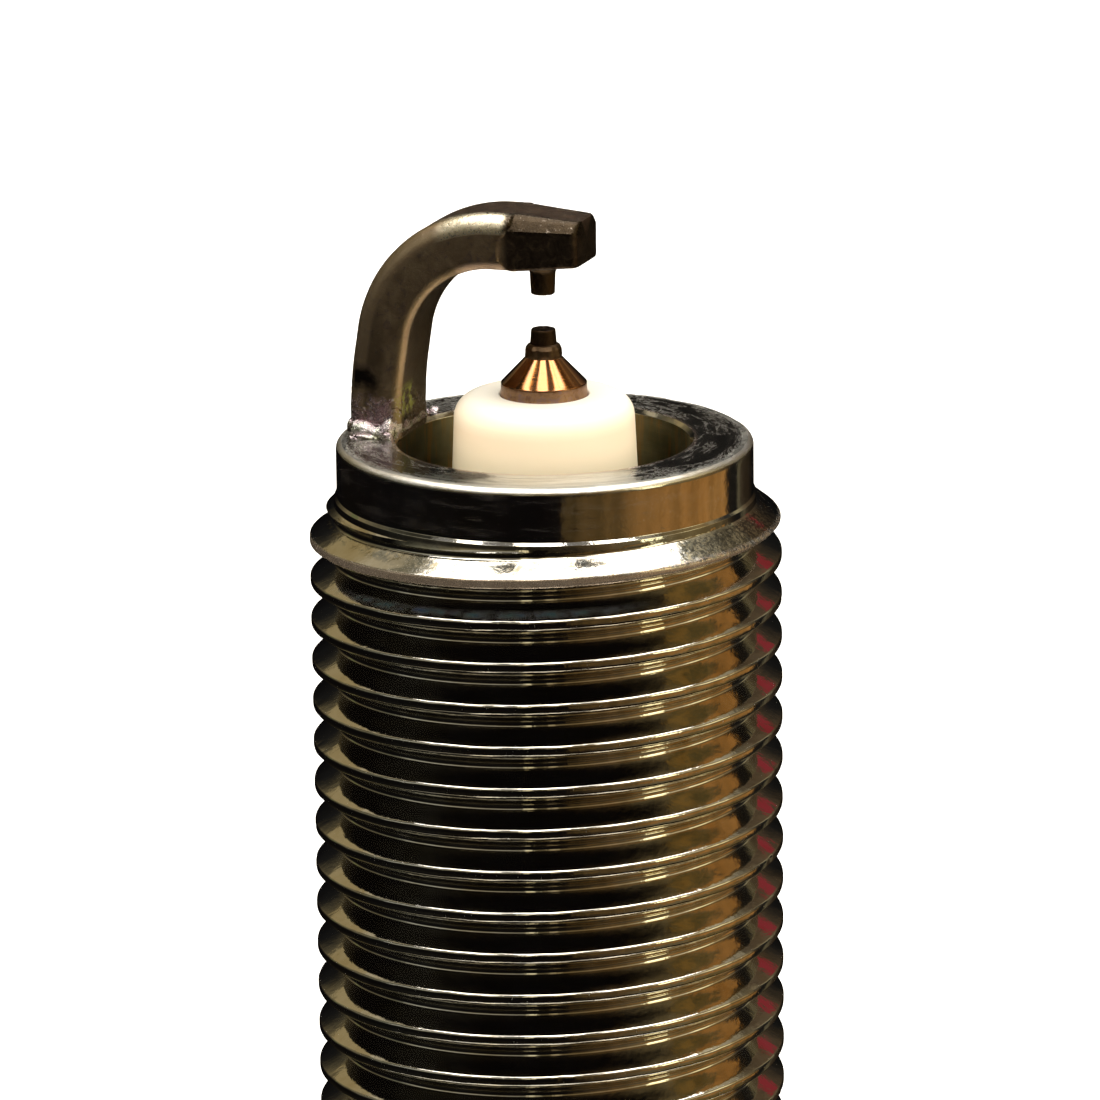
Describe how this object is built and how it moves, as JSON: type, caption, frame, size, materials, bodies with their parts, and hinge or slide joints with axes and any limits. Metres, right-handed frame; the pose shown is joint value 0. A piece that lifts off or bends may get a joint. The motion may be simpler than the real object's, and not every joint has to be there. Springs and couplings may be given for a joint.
{
  "type": "spark plug",
  "caption": "Spark plug with long fine-pitch thread, hexagon, ribbed insulator, resistor, crush gasket, screw-on terminal nut and fine-wire electrodes.",
  "frame": {"origin": "centre of the shell's gasket seat, on the plug's axis", "axes": "+Z along the plug's axis towards the firing end, so the thread's rim is at z = +26.5 mm and the terminal at z = -50.5 mm. The ground electrode's leg stands at -X and its arm points to +X."},
  "size_m": [0.0192, 0.0192, 0.0838],
  "materials": {
    "shell_plating": "bright nickel plate on rolled and turned steel, darkened by heat at the rim",
    "strap_alloy": "heat-tinted nickel alloy, dark bronze, satin",
    "weld_metal": "solidified weld metal, lumpy, with temper colours",
    "precious_metal": "sintered fine wire, satin",
    "alumina": "warm white alumina, glazed on the terminal side and bare at the nose",
    "electrode_alloy": "turned nickel alloy with a copper-brown heat tint",
    "copper": "copper",
    "conductive_glass": "fused copper and glass powder",
    "resistor_mass": "fused carbon and glass powder",
    "zinc_plated_steel": "plated steel",
    "terminal_plating": "nickel plate, turned",
    "packing_steel": "soft steel",
    "talc": "pressed talc powder",
    "gasket_steel": "folded sheet steel, zinc plate"
  },
  "bodies": {
    "plug": {"shell": "shell_plating", "ground_electrode": "strap_alloy", "ground_electrode_weld_flash": "weld_metal", "ground_electrode_tip": "precious_metal", "ground_tip_weld": "weld_metal", "insulator": "alumina", "centre_electrode_sheath": "electrode_alloy", "centre_electrode_core": "copper", "centre_electrode_tip": "precious_metal", "centre_tip_weld": "weld_metal", "lower_glass_seal": "conductive_glass", "resistor": "resistor_mass", "upper_glass_seal": "conductive_glass", "terminal_stud": "zinc_plated_steel", "packing_washer": "packing_steel", "lower_packing_ring": "packing_steel", "talc_filling": "talc", "upper_packing_ring": "packing_steel"},
    "gasket": {"gasket": "gasket_steel"},
    "terminal_nut": {"terminal_nut": "terminal_plating"}
  },
  "joints": [
    {"name": "gasket_float", "type": "slide", "parent": "plug", "child": "gasket", "axis": [0, 0, 1], "range_m": [0, 0.0012]},
    {"name": "terminal_nut_lift_off", "type": "slide", "parent": "plug", "child": "terminal_nut", "axis": [0, 0, -1], "range_m": [0, 0.009]}
  ]
}
